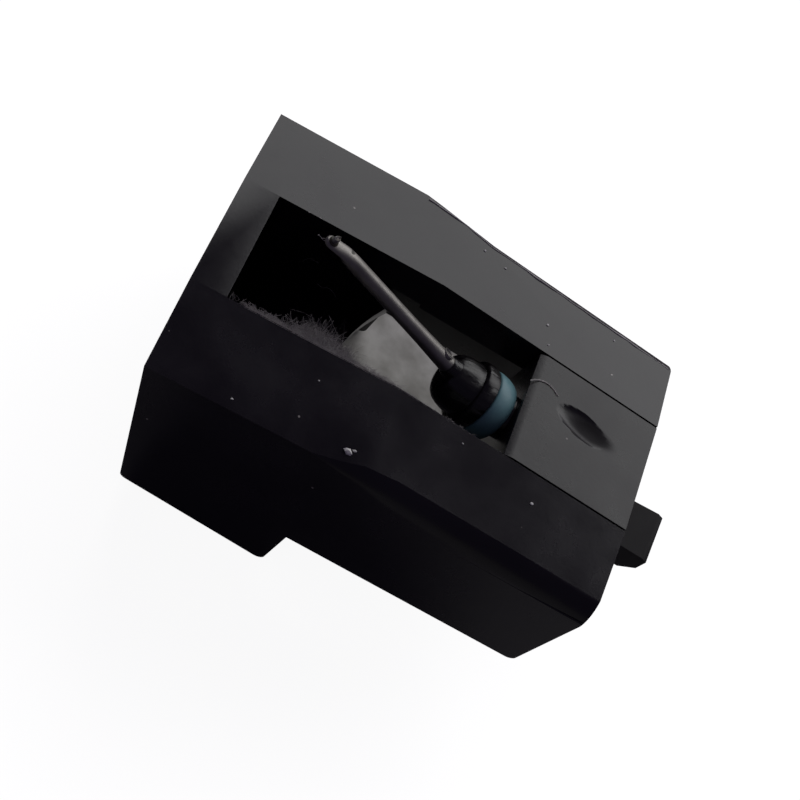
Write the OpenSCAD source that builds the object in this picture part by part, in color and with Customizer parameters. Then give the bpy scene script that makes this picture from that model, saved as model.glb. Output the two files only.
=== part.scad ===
// Replacement stylus of a moving-magnet pickup, record side up.
// X runs from the nose to the tab at the rear, Y across, Z towards the record.
// The origin is the middle of the seat face, the underside of the web behind the nose.

/* [Housing] */
// Length of the housing from the nose edge to the rear face
body_l = 16.3; // [14:0.1:20]
// Width of the housing
body_w = 10.8; // [9.4:0.1:13]
// Height of the record face above the seat, at the nose
nose_h = 6.1; // [5.8:0.05:7.5]
// Height of the record face above the seat, at the cross crease
crease_h = 6.6; // [6.3:0.05:8]
// Height of the record face above the seat, at the rear
rear_h = 5.9; // [5.7:0.05:7.2]
// Distance of the cross crease from the nose edge
crease_x = 7.3; // [5:0.1:9]
// Rake of the nose face, in degrees
rake = 10; // [0:0.5:15]
// Slope of the two shoulder faces beside the flat strip, in degrees
shoulder_slope = 6; // [2:0.5:12]
// Distance of the seat's middle from the nose edge
seat_x = 4; // [3:0.1:5]

/* [Walls] */
// Side wall thickness
side_wall = 0.83; // [0.6:0.01:1.1]
// Nose wall thickness
nose_wall = 1; // [0.7:0.05:1.4]
// Rear wall thickness
rear_wall = 0.9; // [0.6:0.05:1.3]
// Roof thickness at the nose and at the rear
roof_t = 1.1; // [0.9:0.05:1.3]
// Thickness of the web that closes the nose pocket
web_t = 0.8; // [0.5:0.05:1.2]
// Depth of the arc in the web's rear edge
web_arc = 1.4; // [0.6:0.1:2]

/* [Skirt] */
// Distance of the skirt's rear edge from the nose edge
skirt_x = 7.2; // [6.2:0.1:8]
// Depth of the skirt below the seat, at the nose
skirt_nose = 2; // [1:0.1:3]
// Depth of the skirt below the seat, at its rear edge
skirt_rear = 2.6; // [1.2:0.1:3.6]
// Thickness of the skirt's wall, thinner than the side wall above it
skirt_wall = 0.42; // [0.3:0.02:0.8]
// Radius of the rim's corners, seen from the side
rim_r = 0.3; // [0.1:0.05:0.6]

/* [Rear corner rounding] */
// Radius of the rounding between shoulder and side
round_r = 1.2; // [0.8:0.05:1.5]
// Distance from the nose edge where the rounding starts
round_x = 5.6; // [3:0.1:7]
// Distance from the nose edge where it has nearly its full size
knee_x = 8.4; // [7.6:0.1:10]

/* [Window] */
// Distance of the window from the nose edge
window_x = 1.25; // [1.1:0.05:2]
// Length of the window
window_l = 10.1; // [9.6:0.05:10.6]
// Width of the window and of the flat strip
strip_w = 4.3; // [3.6:0.05:5]

/* [Stylus holder] */
// Seam left between the holder's panel and the housing, on each side
seam = 0.06; // [0.02:0.01:0.12]
// Length of the shallow bevel on the panel's front edge
panel_bevel = 0.28; // [0.1:0.02:0.5]
// Depth of that bevel
bevel_drop = 0.1; // [0.04:0.01:0.2]
// Height of the holder's underside above the seat
block_z = 1.7; // [1:0.1:2.6]
// Width of the two ears that bear on the roof, tip to tip
ear_w = 6.2; // [5.4:0.1:7.4]
// Thickness of the ears
ear_t = 1.1; // [0.7:0.1:1.6]
// Distance of the ears behind the panel's front edge
ear_back = 0.4; // [0.2:0.05:0.8]
// Length of the tab behind the housing
tab_l = 2.55; // [1:0.05:3.5]
// Width of the tab
tab_w = 1.8; // [1.2:0.1:2.6]
// Thickness of the tab, which shares the holder's underside
tab_t = 1.3; // [0.9:0.1:1.6]
// Chamfer under the tab's end
tab_cut = 0.5; // [0.2:0.05:0.7]
// Depth of the shallow bevel over the tab's end
tab_bevel = 0.12; // [0.05:0.01:0.2]
// Length of the oval dimple in the panel
dimple_l = 2.2; // [1:0.1:2.6]
// Width of the oval dimple
dimple_w = 0.95; // [0.5:0.05:1.3]
// Depth of the dimple
dimple_d = 0.14; // [0.05:0.01:0.25]
// Distance of the dimple's middle from the rear face
dimple_back = 2.35; // [1.8:0.05:2.6]
// Sideways offset of the dimple
dimple_y = 0.4; // [-0.6:0.05:0.6]
// Turn of the dimple away from the middle plane, in degrees
dimple_turn = 8; // [0:1:20]

/* [Suspension] */
// Height of the damper's axis above the seat
axis_h = 4.9; // [4.7:0.05:5]
// Outer radius of the damper
damper_r = 1.25; // [1.1:0.01:1.35]
// Thickness of the damper
damper_t = 0.55; // [0.4:0.01:0.7]
// Gap on each side of the damper
damper_gap = 0.08; // [0.07:0.01:0.12]
// Rounding of the damper's outer edges
damper_edge = 0.12; // [0.04:0.01:0.18]
// Radius of the boss behind the damper
boss_r = 0.8; // [0.6:0.05:1.1]
// Length of the boss in front of the panel
boss_l = 0.37; // [0.2:0.01:0.8]
// Outer radius of the brass sleeve
sleeve_r = 0.45; // [0.4:0.01:0.55]
// Bore radius of the brass sleeve
sleeve_bore = 0.3; // [0.25:0.01:0.34]
// Length of the brass sleeve
sleeve_l = 3.4; // [2:0.1:4.2]
// Radius of the suspension wire
wire_r = 0.06; // [0.04:0.01:0.08]
// Length of the wire behind the pivot
wire_tail = 1.2; // [0.6:0.1:1.4]
// Play between pieces that are fitted into each other
fit = 0.01; // [0.01:0.005:0.02]

/* [Carrier and magnet] */
// Length of the carrier
carrier_l = 1.62; // [1.5:0.02:1.8]
// Radius of the carrier's rim next to the damper
rim_carrier_r = 1.18; // [1.1:0.01:1.3]
// Length of that rim
rim_carrier_l = 0.34; // [0.2:0.02:0.5]
// Radius of the carrier's body behind the nose
carrier_r = 1; // [0.9:0.01:1.08]
// Radius of the carrier's front face
carrier_nose_r = 0.62; // [0.5:0.01:0.75]
// Radius of the magnet
magnet_r = 0.5; // [0.4:0.01:0.54]
// Length of the magnet
magnet_l = 1; // [0.8:0.05:1.1]
// Radius of the collar where the tube leaves the carrier
collar_r = 0.36; // [0.32:0.01:0.5]
// Length of the collar along the tube
collar_l = 0.8; // [0.5:0.05:1.2]

/* [Cantilever] */
// Rise of the tube towards the record, in degrees
tube_rise = 26; // [24:0.5:30]
// Outer radius of the tube
tube_r = 0.26; // [0.22:0.005:0.3]
// Wall of the tube
tube_wall = 0.06; // [0.04:0.01:0.1]
// Distance of the tip's hole from the pivot
tip_reach = 8.3; // [7.4:0.1:8.6]
// Width of the flattened end
paddle_w = 0.48; // [0.4:0.02:0.7]
// Length of the flattened end before the tip's hole
paddle_l = 0.45; // [0.3:0.05:0.8]
// Thickness of the flattened end
paddle_t = 0.22; // [0.16:0.02:0.3]
// Bend of the flattened end, back towards the record's plane
paddle_bend = 14; // [6:1:20]
// Radius of the tip's shank
shank_r = 0.1; // [0.08:0.01:0.13]
// Length of the shank above the flattened end
shank_l = 0.22; // [0.16:0.02:0.4]
// Length of the diamond
diamond_l = 0.18; // [0.14:0.01:0.3]
// Radius of the diamond's rounded end
diamond_r = 0.02; // [0.015:0.005:0.03]

/* [Hidden] */
$fn = 64;
eps = 0.01;
half_w = body_w / 2;
pocket_w = body_w - 2 * side_wall;
holder_x = window_x + window_l;
nose_ceiling = nose_h - roof_t;
rear_ceiling = rear_h - roof_t;
skirt_low = max(skirt_nose, skirt_rear);
pivot_x = holder_x - boss_l - damper_gap - damper_t / 2;
carrier_back = pivot_x - damper_t / 2 - damper_gap;
carrier_front = carrier_back - carrier_l;
// The tube starts inside the carrier, this clear of the magnet
root_gap = 0.05;
tube_root = (magnet_r + root_gap + tube_r * cos(tube_rise)) / sin(tube_rise);
// The collar's foot lies this far inside the bell, and is as much wider than the collar
collar_foot = 0.2;
paddle_start = tip_reach - paddle_l;
// Shares of the rounding's radius by which its middle lies inside the side and under the edge
start_in = 0.85;
start_drop = sqrt(1 - start_in * start_in);
full_in = 0.99;
knee_drop = 0.8;
rear_drop = 0.85;
// Radius of the arc in the web, from its depth and the pocket's width
arc_r = (web_arc * web_arc + pocket_w * pocket_w / 4) / (2 * web_arc);

// Height of the record face at distance x from the nose edge
function strip_z(x) = x < crease_x
    ? nose_h + (crease_h - nose_h) * x / crease_x
    : crease_h - (crease_h - rear_h) * (x - crease_x) / (body_l - crease_x);
// Height of the shoulder's outer edge
function edge_z(x) = strip_z(x) - (body_w - strip_w) / 2 * tan(shoulder_slope);
// Outer nose face at height z
function nose_x(z) = (nose_h - z) * tan(rake);
// Inner nose face at height z
function inner_x(z) = nose_x(z) + nose_wall;

// Moves from nose-edge distances to the seat's middle
module in_frame() {
    translate([-seat_x, 0, 0])
        children();
}

// Extrudes an outline drawn in X and Z to both sides of the middle plane
module across(width) {
    rotate([90, 0, 0])
        translate([0, 0, -width / 2])
            linear_extrude(height = width)
                children();
}

// Everything that is the same on the two sides
module both_sides() {
    children();
    mirror([0, 1, 0])
        children();
}

// Turns Z into the axis of the damper, with z = 0 at distance x
module on_axis(x) {
    translate([x, 0, axis_h])
        rotate([0, 90, 0])
            children();
}

// Turns Z into the axis of the tube, with z = 0 at the pivot
module on_tube() {
    translate([pivot_x, 0, axis_h])
        rotate([0, tube_rise - 90, 0])
            children();
}

// What a fillet takes off a corner whose edges leave it at angles a and a + open
module corner_waste(at, a, open, r) {
    reach = r / tan(open / 2);
    translate(at)
        rotate(a)
            difference() {
                polygon([
                    [-eps, -eps],
                    [reach, -eps],
                    [reach, r],
                    [reach * cos(open), reach * sin(open)]
                ]);
                translate([reach, r])
                    circle(r = r);
            }
}

// Side view of the housing
module side_outline() {
    skirt_turn = atan2(skirt_rear - skirt_nose, skirt_x - nose_x(-skirt_nose));
    difference() {
        polygon([
            [0, nose_h],
            [crease_x, crease_h],
            [body_l, rear_h],
            [body_l, 0],
            [skirt_x, 0],
            [skirt_x, -skirt_rear],
            [nose_x(-skirt_nose), -skirt_nose]
        ]);
        corner_waste([body_l, 0], 90, 90, rim_r);
        corner_waste([skirt_x, -skirt_rear], 90, 90 - skirt_turn, rim_r);
        corner_waste(
            [nose_x(-skirt_nose), -skirt_nose], -skirt_turn, 90 + rake + skirt_turn, rim_r
        );
    }
}

// Slices the shoulder face, from the strip's edge down to the side
module shoulder_waste(x, z, pitch) {
    translate([x, strip_w / 2, z])
        rotate([0, pitch, 0])
            rotate([-shoulder_slope, 0, 0])
                translate([-2 * body_l, 0, 0])
                    cube([4 * body_l, body_w, body_w]);
}

// Middle of the rounding's arc at distance x, in shares of its radius
function arc_middle(x, inward, drop) = [
    x,
    half_w - inward * round_r,
    edge_z(x) - drop * round_r
];

// Starts at a point and turns X into a direction
module aim(from, way) {
    translate(from)
        rotate([0, 0, atan2(way[1], way[0])])
            rotate([0, atan2(-way[2], norm([way[0], way[1]])), 0])
                children();
}

// What a quarter round leaves outside it, along the line of its middle
module quarter_waste(from, to) {
    lead = 2;
    run = norm(to - from) + 2 * lead;
    aim(from, to - from)
        translate([-lead, 0, 0])
            difference() {
                cube([run, 2 * round_r, 2 * round_r]);
                rotate([0, 90, 0])
                    cylinder(r = round_r, h = run);
            }
}

// Rounding that starts from nothing, grows fast to the knee and stays large to the rear face
module rounding_waste() {
    start = arc_middle(round_x, start_in, start_drop);
    knee = arc_middle(knee_x, full_in, knee_drop);
    rear = arc_middle(body_l, full_in, rear_drop);
    // the two stretches meet in the plane that halves the angle between them
    mitre = (knee - start) / norm(knee - start) + (rear - knee) / norm(rear - knee);
    intersection() {
        quarter_waste(start, knee);
        aim(knee, mitre)
            translate([-body_l, -body_w, -body_w])
                cube([body_l, 2 * body_w, 2 * body_w]);
    }
    intersection() {
        quarter_waste(knee, rear);
        aim(knee, mitre)
            translate([0, -body_w, -body_w])
                cube([body_l, 2 * body_w, 2 * body_w]);
    }
}

// Hollow of the nose, above the web
module nose_pocket() {
    across(pocket_w)
        polygon([
            [inner_x(nose_ceiling), nose_ceiling],
            [inner_x(web_t), web_t],
            [skirt_x + eps, web_t],
            [skirt_x + eps, nose_ceiling]
        ]);
}

// Hollow that takes the pickup's body, with the web's arc at its front
module body_pocket() {
    translate([0, 0, -eps]) {
        linear_extrude(height = rear_ceiling + eps) {
            translate([skirt_x, -pocket_w / 2])
                square([body_l - rear_wall - skirt_x, pocket_w]);
            intersection() {
                translate([skirt_x - web_arc + arc_r, 0])
                    circle(r = arc_r, $fn = 128);
                translate([skirt_x - web_arc, -pocket_w / 2])
                    square([web_arc + eps, pocket_w]);
            }
        }
    }
}

// Hollow inside the thin-walled skirt, with a straight front down to the rim
module skirt_pocket() {
    front = nose_x(-skirt_low) + nose_wall;
    across(body_w - 2 * skirt_wall)
        polygon([
            [front, 0],
            [front, -skirt_low - 1],
            [skirt_x + eps, -skirt_low - 1],
            [skirt_x + eps, 0]
        ]);
}

module housing() {
    rear_pitch = atan2(crease_h - rear_h, body_l - crease_x);
    nose_pitch = -atan2(crease_h - nose_h, crease_x);
    color([0.07, 0.065, 0.07])
        in_frame()
            difference() {
                across(body_w)
                    side_outline();
                both_sides() {
                    shoulder_waste(0, nose_h, nose_pitch);
                    shoulder_waste(crease_x, crease_h, rear_pitch);
                    rounding_waste();
                }
                nose_pocket();
                body_pocket();
                skirt_pocket();
                // window, and the slot for the holder's panel behind it
                translate([window_x, -strip_w / 2, rear_ceiling - eps])
                    cube([body_l, strip_w, crease_h]);
                // way out of the holder through the rear wall
                translate([body_l - rear_wall - eps, -strip_w / 2, block_z - seam])
                    cube([rear_wall + 1, strip_w, crease_h]);
            }
}

// Side view of the holder's block with its bevelled panel
module block_outline() {
    polygon([
        [holder_x, block_z],
        [holder_x, strip_z(holder_x) - bevel_drop],
        [holder_x + panel_bevel, strip_z(holder_x + panel_bevel)],
        [body_l, rear_h],
        [body_l, block_z]
    ]);
}

// Side view of the tab, with its end bevelled above and chamfered below
module tab_outline() {
    end = body_l + tab_l;
    top = block_z + tab_t;
    polygon([
        [body_l - rear_wall, top],
        [end - 2 * tab_bevel, top],
        [end, top - tab_bevel],
        [end, block_z + tab_cut],
        [end - tab_cut, block_z],
        [body_l - rear_wall, block_z]
    ]);
}

// Oval dimple: the underside of a ring rolled across the panel
module dimple_waste() {
    roll = (dimple_l * dimple_l / 4 + dimple_d * dimple_d) / (2 * dimple_d);
    section = (dimple_w * dimple_w / 4 + dimple_d * dimple_d) / (2 * dimple_d);
    at_x = body_l - dimple_back;
    translate([at_x, dimple_y, strip_z(at_x) + roll - dimple_d])
        rotate([0, 0, -dimple_turn])
            rotate([90, 0, 0])
                rotate_extrude($fn = 96)
                    translate([roll - section, 0])
                        intersection() {
                            circle(r = section);
                            translate([0, -section])
                                square([section, 2 * section]);
                        }
}

module stylus_holder() {
    ear_x = holder_x + ear_back;
    color([0.08, 0.075, 0.08])
        in_frame()
            difference() {
                union() {
                    across(strip_w - 2 * seam)
                        block_outline();
                    translate([ear_x, -ear_w / 2, rear_ceiling - ear_t])
                        cube([body_l - rear_wall - seam - ear_x, ear_w, ear_t]);
                    across(tab_w)
                        tab_outline();
                    on_axis(holder_x - boss_l)
                        cylinder(r = boss_r, h = boss_l + eps);
                }
                on_axis(holder_x - boss_l - eps)
                    cylinder(r = sleeve_r + fit, h = sleeve_l + fit + eps);
                dimple_waste();
            }
}

module wire_sleeve() {
    color([0.72, 0.58, 0.3])
        in_frame()
            on_axis(holder_x - boss_l)
                difference() {
                    cylinder(r = sleeve_r, h = sleeve_l);
                    translate([0, 0, -eps])
                        cylinder(r = sleeve_bore, h = sleeve_l + 2 * eps);
                }
}

module damper() {
    color([0.3, 0.55, 0.6])
        in_frame()
            on_axis(pivot_x - damper_t / 2)
                rotate_extrude()
                    difference() {
                        translate([sleeve_bore, 0])
                            square([damper_r - sleeve_bore, damper_t]);
                        corner_waste([damper_r, 0], 90, 90, damper_edge);
                        corner_waste([damper_r, damper_t], 180, 90, damper_edge);
                    }
}

// Half section of the bell, along its axis from the front face
module bell_section() {
    polygon([
        [0, 0],
        [carrier_nose_r, 0],
        [(carrier_nose_r + carrier_r) / 2, carrier_l * 0.08],
        [carrier_r * 0.94, carrier_l * 0.3],
        [carrier_r, carrier_l - rim_carrier_l],
        [rim_carrier_r, carrier_l - rim_carrier_l + 0.05],
        [rim_carrier_r, carrier_l],
        [0, carrier_l]
    ]);
}

module carrier() {
    color([0.05, 0.045, 0.05])
        in_frame()
            difference() {
                union() {
                    on_axis(carrier_front)
                        rotate_extrude()
                            bell_section();
                    // collar that hugs the tube where it leaves the bell
                    on_tube()
                        translate([0, 0, tube_root - collar_foot])
                            cylinder(r1 = collar_r + collar_foot, r2 = collar_r, h = collar_l);
                }
                on_tube()
                    translate([0, 0, tube_root - fit])
                        cylinder(r = tube_r + fit, h = carrier_l + 1);
                on_axis(carrier_back - magnet_l - fit)
                    cylinder(r = magnet_r + fit, h = magnet_l + 1);
            }
}

module magnet() {
    color([0.25, 0.25, 0.27])
        in_frame()
            difference() {
                on_axis(carrier_back - magnet_l)
                    cylinder(r = magnet_r, h = magnet_l);
                on_axis(carrier_back - magnet_l / 2)
                    cylinder(r = wire_r + fit, h = magnet_l);
            }
}

module suspension_wire() {
    start = carrier_back - magnet_l / 2 + fit;
    color([0.6, 0.6, 0.62])
        in_frame()
            on_axis(start)
                cylinder(r = wire_r, h = pivot_x + wire_tail - start);
}

// Outline of the flattened end, with its round end about the tip's hole
module paddle_plan() {
    translate([-paddle_w / 2, -paddle_l / 2])
        square([paddle_w, 1.5 * paddle_l]);
    translate([0, paddle_l])
        circle(d = paddle_w);
}

// Turns Z along the flattened end, with z = 0 where it starts and x = 0 on its record side
module on_paddle() {
    on_tube()
        translate([0, 0, paddle_start])
            rotate([0, -paddle_bend, 0])
                translate([paddle_t / 2, 0, 0])
                    children();
}

module cantilever() {
    hollow = paddle_start - tube_root - 3 * tube_r;
    squeeze = atan2(tube_r - paddle_t / 2, paddle_l);
    color([0.78, 0.78, 0.76])
        in_frame()
            difference() {
                union() {
                    on_tube()
                        translate([0, 0, tube_root])
                            difference() {
                                cylinder(r = tube_r, h = paddle_start - tube_root);
                                translate([0, 0, -eps])
                                    cylinder(r = tube_r - tube_wall, h = hollow);
                            }
                    on_paddle()
                        translate([-paddle_t, 0, 0])
                            rotate([90, 0, 90])
                                linear_extrude(height = paddle_t)
                                    paddle_plan();
                }
                // the record side, pressed flat
                on_paddle()
                    translate([0, -body_w / 2, -3 * tube_r])
                        cube(body_w);
                // the other side, tapered down to the flattened end
                on_paddle()
                    translate([-paddle_t, 0, 0])
                        rotate([0, paddle_bend + squeeze, 0])
                            translate([-body_w, -body_w / 2, -body_w])
                                cube(body_w);
                // hole for the tip's shank
                on_paddle()
                    translate([0, 0, paddle_l])
                        rotate([0, 90, 0])
                            cylinder(r = shank_r + fit, h = 2 * tube_r + 1, center = true);
            }
}

// The tip stands on the flattened end, towards the record
module on_tip() {
    on_paddle()
        translate([0, 0, paddle_l])
            rotate([0, 90, 0])
                children();
}

module tip_shank() {
    color([0.5, 0.5, 0.52])
        in_frame()
            on_tip()
                translate([0, 0, -paddle_t])
                    cylinder(r = shank_r, h = paddle_t + shank_l);
}

module diamond() {
    color([0.75, 0.72, 0.6])
        in_frame()
            on_tip()
                translate([0, 0, shank_l])
                    rotate_extrude()
                        union() {
                            polygon([
                                [0, 0],
                                [shank_r, 0],
                                [diamond_r, diamond_l - diamond_r],
                                [0, diamond_l - diamond_r]
                            ]);
                            translate([0, diamond_l - diamond_r])
                                intersection() {
                                    circle(r = diamond_r);
                                    square(diamond_r);
                                }
                        }
}

housing();
stylus_holder();
wire_sleeve();
damper();
carrier();
magnet();
suspension_wire();
cantilever();
tip_shank();
diamond();
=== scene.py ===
# %% [markdown]
# # A turntable stylus, dressed for its portrait
# The engineering model of a replacement stylus comes in as a fixed frame, in metres.
# It lies record side up: +X runs from the nose to the pull tab, +Z points at the record.
# Each cell makes one real piece: the moulded housing, the holder with its tab, the rubber damper,
# the carrier, the aluminium cantilever and its tip, and the dust that has settled on them.

import math
import random

import bpy
from mathutils import Matrix, Vector


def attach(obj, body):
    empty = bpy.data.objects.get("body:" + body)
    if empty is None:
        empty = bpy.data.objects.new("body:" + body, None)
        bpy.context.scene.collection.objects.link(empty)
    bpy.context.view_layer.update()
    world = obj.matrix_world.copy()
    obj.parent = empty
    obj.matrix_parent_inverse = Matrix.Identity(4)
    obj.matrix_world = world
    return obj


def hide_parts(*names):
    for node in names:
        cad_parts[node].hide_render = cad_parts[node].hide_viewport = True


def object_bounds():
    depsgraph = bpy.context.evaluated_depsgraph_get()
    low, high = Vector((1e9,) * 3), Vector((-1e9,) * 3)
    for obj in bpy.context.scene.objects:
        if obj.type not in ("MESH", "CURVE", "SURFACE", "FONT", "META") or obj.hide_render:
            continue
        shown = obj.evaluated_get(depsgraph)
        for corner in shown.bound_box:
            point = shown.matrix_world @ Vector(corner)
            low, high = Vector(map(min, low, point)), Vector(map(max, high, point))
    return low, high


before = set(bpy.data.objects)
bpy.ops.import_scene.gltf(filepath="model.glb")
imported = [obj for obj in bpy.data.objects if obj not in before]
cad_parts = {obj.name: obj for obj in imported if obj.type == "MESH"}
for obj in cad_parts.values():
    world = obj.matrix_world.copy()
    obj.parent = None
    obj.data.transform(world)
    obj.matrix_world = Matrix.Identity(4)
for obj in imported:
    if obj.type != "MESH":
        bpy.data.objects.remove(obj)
cad_low, cad_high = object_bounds()
MM = 0.001
print("CAD box in mm:", [round(v / MM, 2) for v in cad_high - cad_low])

# %% [markdown]
# ## Drawing values
# A few numbers from the drawing are used by several pieces, so they are named once, here.
# Lengths are in millimetres and angles in degrees, as on a drawing.

# %% Drawing values
# the damper's middle, about which the cantilever swings
PIVOT_X, AXIS_Z = 6.625, 4.9
# rise of the tube towards the record, and the bend back of its flattened end
TUBE_RISE, FLAT_BEND = 26, 14
# with no record under it, the rubber lets the carrier sit nose up by this much
DROOP = 14
# the record side: heights at the nose, the cross crease and the rear, and where these are
NOSE_TOP, CREASE_TOP, REAR_TOP = 6.1, 6.6, 5.9
NOSE_X, CREASE_X, REAR_X = -4, 3.3, 12.3
HALF_STRIP, SHOULDER_SLOPE = 2.15, 6
print("pivot at", PIVOT_X, AXIS_Z, "mm")

# %% [markdown]
# ## Camera
# The photo was taken from close by, about 5 cm away, looking down over the nose and the left side.
# The place, the turn and the focal length were worked out from the housing's straight edges,
# so the render can be laid over the photo. The small size needs a near clipping distance.

# %% Camera
camera_data = bpy.data.cameras.new("camera")
camera_data.sensor_width = 36
camera_data.lens = 66.546
camera_data.clip_start = 1 * MM
camera_data.clip_end = 10
camera = bpy.data.objects.new("camera", camera_data)
bpy.context.scene.collection.objects.link(camera)
camera.location = Vector((-5.622, -26.24, 44.845)) * MM
camera.rotation_mode = "QUATERNION"
camera.rotation_quaternion = (0.931595, 0.238932, -0.162301, 0.220682)
bpy.context.scene.camera = camera
print("camera at", [round(v / MM, 1) for v in camera.location], "mm")

# %% [markdown]
# ## Small helpers
# Operators act on whatever is selected, so every step starts by clearing the selection.
# A finish is a small node tree; one function adds a node, sets it and wires it.
# Colours are written as on a screen, in hex, and turned to the linear values that light adds up in.


# %% Helpers
def clear_selection():
    if bpy.context.object and bpy.context.object.mode != "OBJECT":
        bpy.ops.object.mode_set(mode="OBJECT")
    bpy.ops.object.select_all(action="DESELECT")


def activate(piece):
    clear_selection()
    piece.select_set(True)
    bpy.context.view_layer.objects.active = piece
    return piece


def edit(piece):
    activate(piece)
    bpy.ops.object.mode_set(mode="EDIT")
    bpy.ops.mesh.select_all(action="SELECT")


def linear(code):
    channels = [int(code[i : i + 2], 16) / 255 for i in (1, 3, 5)]
    return (
        *[c / 12.92 if c <= 0.04045 else ((c + 0.055) / 1.055) ** 2.4 for c in channels],
        1,
    )


def node(tree, kind, inputs=None, **settings):
    new = tree.nodes.new(kind)
    for name, value in settings.items():
        setattr(new, name, value)
    for socket, value in (inputs or {}).items():
        if isinstance(value, bpy.types.NodeSocket):
            tree.links.new(value, new.inputs[socket])
        else:
            new.inputs[socket].default_value = value
    return new


def new_finish(name):
    print("finish:", name)
    finish = bpy.data.materials.new(name)
    finish.use_nodes = True
    tree = finish.node_tree
    tree.nodes.clear()
    shader = node(tree, "ShaderNodeBsdfPrincipled")
    node(tree, "ShaderNodeOutputMaterial", {"Surface": shader.outputs[0]})
    place = node(tree, "ShaderNodeTexCoord").outputs["Object"]
    return finish, tree, shader, place


def uneven(tree, shader, pattern, colours, roughness, contrast=(0, 1)):
    """Lets one pattern run the colour and the roughness from one value to another."""
    tint = node(
        tree,
        "ShaderNodeMix",
        {0: pattern.outputs[0], 6: linear(colours[0]), 7: linear(colours[1])},
        data_type="RGBA",
    )
    rough = node(
        tree,
        "ShaderNodeMapRange",
        {
            "Value": pattern.outputs[0],
            "From Min": contrast[0],
            "From Max": contrast[1],
            "To Min": roughness[0],
            "To Max": roughness[1],
        },
    )
    tree.links.new(tint.outputs[2], shader.inputs["Base Color"])
    tree.links.new(rough.outputs[0], shader.inputs["Roughness"])


def paint(piece, finish):
    piece.data.materials.clear()
    piece.data.materials.append(finish)
    return piece


def put_on(piece, body, slot_name, finish, *stands_for):
    paint(piece, finish)
    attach(piece, body)
    if stands_for:
        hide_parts(*stands_for)
    print(piece.name, "has", len(piece.data.polygons), "faces")
    return piece


# %% [markdown]
# ## Floor
# A pale sheet under the part, and one large soft light low behind it, as from a window.
# Black plastic shows almost nothing but reflections, so the light's place draws the faces:
# those that lean towards it come out grey, the others stay black.
# The sheet looks white to the camera, except in an oval of painted shade under and beside the part:
# there its glow is left off, so it shows grey, and darker where the part's own shadow falls.

# %% Floor
FLOOR_Z = cad_low.z - 0.05 * MM
clear_selection()
bpy.ops.mesh.primitive_plane_add(size=2, location=(0, 0, FLOOR_Z))
floor = bpy.context.object
floor.name = "floor"
paper = bpy.data.materials.new("white matte paper")
paper.use_nodes = True
tree = paper.node_tree
tree.nodes.clear()
seen = node(tree, "ShaderNodeLightPath")
place = node(tree, "ShaderNodeTexCoord").outputs["Object"]
# distance from the middle of the painted shade oval, in half sizes of that oval
shade = node(
    tree,
    "ShaderNodeMapping",
    {
        "Vector": place,
        "Location": (5.4 * MM, 4.6 * MM, 0),
        "Scale": (6.6 * MM, 4.6 * MM, 1),
    },
    vector_type="TEXTURE",
)
reach = node(tree, "ShaderNodeVectorMath", {0: shade.outputs[0]}, operation="LENGTH")
# 0 in the painted shade oval, 1 on the open sheet, which glows white to the camera
outside_painted_shade = node(
    tree,
    "ShaderNodeMapRange",
    {"Value": reach.outputs["Value"], "From Min": 0.8, "From Max": 1.15},
    interpolation_type="SMOOTHSTEP",
)
fleck = node(tree, "ShaderNodeTexNoise", {"Vector": place, "Scale": 1 / (1.1 * MM), "Detail": 4})
crumple = node(
    tree, "ShaderNodeMapRange", {"Value": fleck.outputs[0], "From Min": 0.35, "From Max": 0.65}
)
sheet_tint = node(
    tree,
    "ShaderNodeMix",
    {0: crumple.outputs[0], 6: linear("#aeaca7"), 7: linear("#d4d2ce")},
    data_type="RGBA",
)
# around the part, what bounces off the sheet is dimmer than what the camera sees
bounce = node(
    tree,
    "ShaderNodeMix",
    {0: outside_painted_shade.outputs[0], 6: sheet_tint.outputs[2], 7: linear("#9e9c9d")},
    data_type="RGBA",
)
matte = node(tree, "ShaderNodeBsdfDiffuse", {"Color": bounce.outputs[2]})
whiten = node(
    tree, "ShaderNodeMath", {0: outside_painted_shade.outputs[0], 1: 0.93}, operation="MULTIPLY"
)
glow = node(
    tree, "ShaderNodeEmission", {"Color": linear("#ffffff"), "Strength": whiten.outputs[0]}
)
both = node(tree, "ShaderNodeAddShader", {0: matte.outputs[0], 1: glow.outputs[0]})
choice = node(
    tree,
    "ShaderNodeMixShader",
    {0: seen.outputs["Is Camera Ray"], 1: matte.outputs[0], 2: both.outputs[0]},
)
node(tree, "ShaderNodeOutputMaterial", {"Surface": choice.outputs[0]})
paint(floor, paper)
print("floor at", round(FLOOR_Z / MM, 2), "mm")

# %% [markdown]
# ## Light
# The room itself is dim: a weak even fill, which the camera sees as white.
# The window light is a large rectangle, so its edge in the reflections is soft.
# It stands behind the part on the far side. Its upper edge decides which faces mirror it:
# the flat strip does, and the near shoulder, which leans away, mirrors the dark above it.

# %% Light
world = bpy.data.worlds.new("studio")
bpy.context.scene.world = world
world.use_nodes = True
tree = world.node_tree
tree.nodes.clear()
seen = node(tree, "ShaderNodeLightPath")
fill = node(tree, "ShaderNodeBackground", {"Color": linear("#dccfff"), "Strength": 0.07})
white = node(tree, "ShaderNodeBackground", {"Color": linear("#ffffff"), "Strength": 1})
sky = node(
    tree,
    "ShaderNodeMixShader",
    {0: seen.outputs["Is Camera Ray"], 1: fill.outputs[0], 2: white.outputs[0]},
)
node(tree, "ShaderNodeOutputWorld", {"Surface": sky.outputs[0]})


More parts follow.
